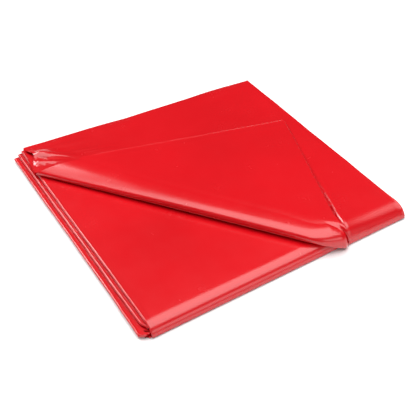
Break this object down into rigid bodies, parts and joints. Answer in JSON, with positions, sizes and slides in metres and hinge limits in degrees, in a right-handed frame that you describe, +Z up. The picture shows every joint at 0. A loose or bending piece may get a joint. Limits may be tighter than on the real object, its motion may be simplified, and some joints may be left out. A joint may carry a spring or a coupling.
{
  "type": "folded vinyl sheet",
  "caption": "Large glossy vinyl film sheet folded into a flat square pack of leaves, with one corner of the top leaf turned back over a soft diagonal roll.",
  "frame": {"origin": "middle of the pack's footprint, on the surface that the pack lies on", "axes": "+X along the front edge towards the creases of the right side, +Y from the front folds to the back edge, +Z up out of the stack"},
  "size_m": [0.2638, 0.2681, 0.022],
  "materials": {
    "vinyl_film": "glossy soft vinyl film, smooth, rolled into soft folds"
  },
  "bodies": {
    "leaf_1": {"leaf_1_bottom": "vinyl_film"},
    "leaf_2": {"leaf_2": "vinyl_film"},
    "leaf_3": {"leaf_3": "vinyl_film"},
    "leaf_4": {"leaf_4": "vinyl_film"},
    "leaf_5": {"leaf_5": "vinyl_film"},
    "leaf_6": {"leaf_6": "vinyl_film"},
    "leaf_7": {"leaf_7": "vinyl_film", "leaf_7_front_fold": "vinyl_film"},
    "leaf_8": {"leaf_8_top": "vinyl_film", "leaf_8_front_fold": "vinyl_film"},
    "corner": {"corner_flap": "vinyl_film", "corner_roll": "vinyl_film"}
  },
  "joints": [
    {"name": "fold_1_2", "type": "hinge", "parent": "leaf_1", "child": "leaf_2", "pos_m": [0.1301, 0, 0.00143], "axis": [0, 1, 0], "range_deg": [0, 179.5]},
    {"name": "fold_2_3", "type": "hinge", "parent": "leaf_2", "child": "leaf_3", "pos_m": [-0.1321, 0, 0.00302], "axis": [0, -1, 0], "range_deg": [0, 179.5]},
    {"name": "fold_3_4", "type": "hinge", "parent": "leaf_3", "child": "leaf_4", "pos_m": [0.1316, 0, 0.00462], "axis": [0, 1, 0], "range_deg": [0, 179.5]},
    {"name": "fold_4_5", "type": "hinge", "parent": "leaf_4", "child": "leaf_5", "pos_m": [-0.1273, 0, 0.00622], "axis": [0, -1, 0], "range_deg": [0, 179.5]},
    {"name": "fold_5_6", "type": "hinge", "parent": "leaf_5", "child": "leaf_6", "pos_m": [0.1308, 0, 0.00783], "axis": [0, 1, 0], "range_deg": [0, 179.5]},
    {"name": "fold_6_7", "type": "hinge", "parent": "leaf_6", "child": "leaf_7", "pos_m": [-0.1238, 0, 0.00942], "axis": [0, -1, 0], "range_deg": [0, 179.5]},
    {"name": "fold_7_8", "type": "hinge", "parent": "leaf_7", "child": "leaf_8", "pos_m": [0.1321, 0, 0.01103], "axis": [0, 1, 0], "range_deg": [0, 179.5]},
    {"name": "corner_crease", "type": "hinge", "parent": "leaf_8", "child": "corner", "pos_m": [-0.1236, 0.0942, 0.0166], "axis": [0.6052, -0.7961, 0], "range_deg": [0, 179.5]}
  ],
  "couplings": [
    {"joint": "fold_2_3", "follows": "fold_1_2", "ratio": 1},
    {"joint": "fold_3_4", "follows": "fold_1_2", "ratio": 1},
    {"joint": "fold_4_5", "follows": "fold_1_2", "ratio": 1},
    {"joint": "fold_5_6", "follows": "fold_1_2", "ratio": 1},
    {"joint": "fold_6_7", "follows": "fold_1_2", "ratio": 1}
  ]
}
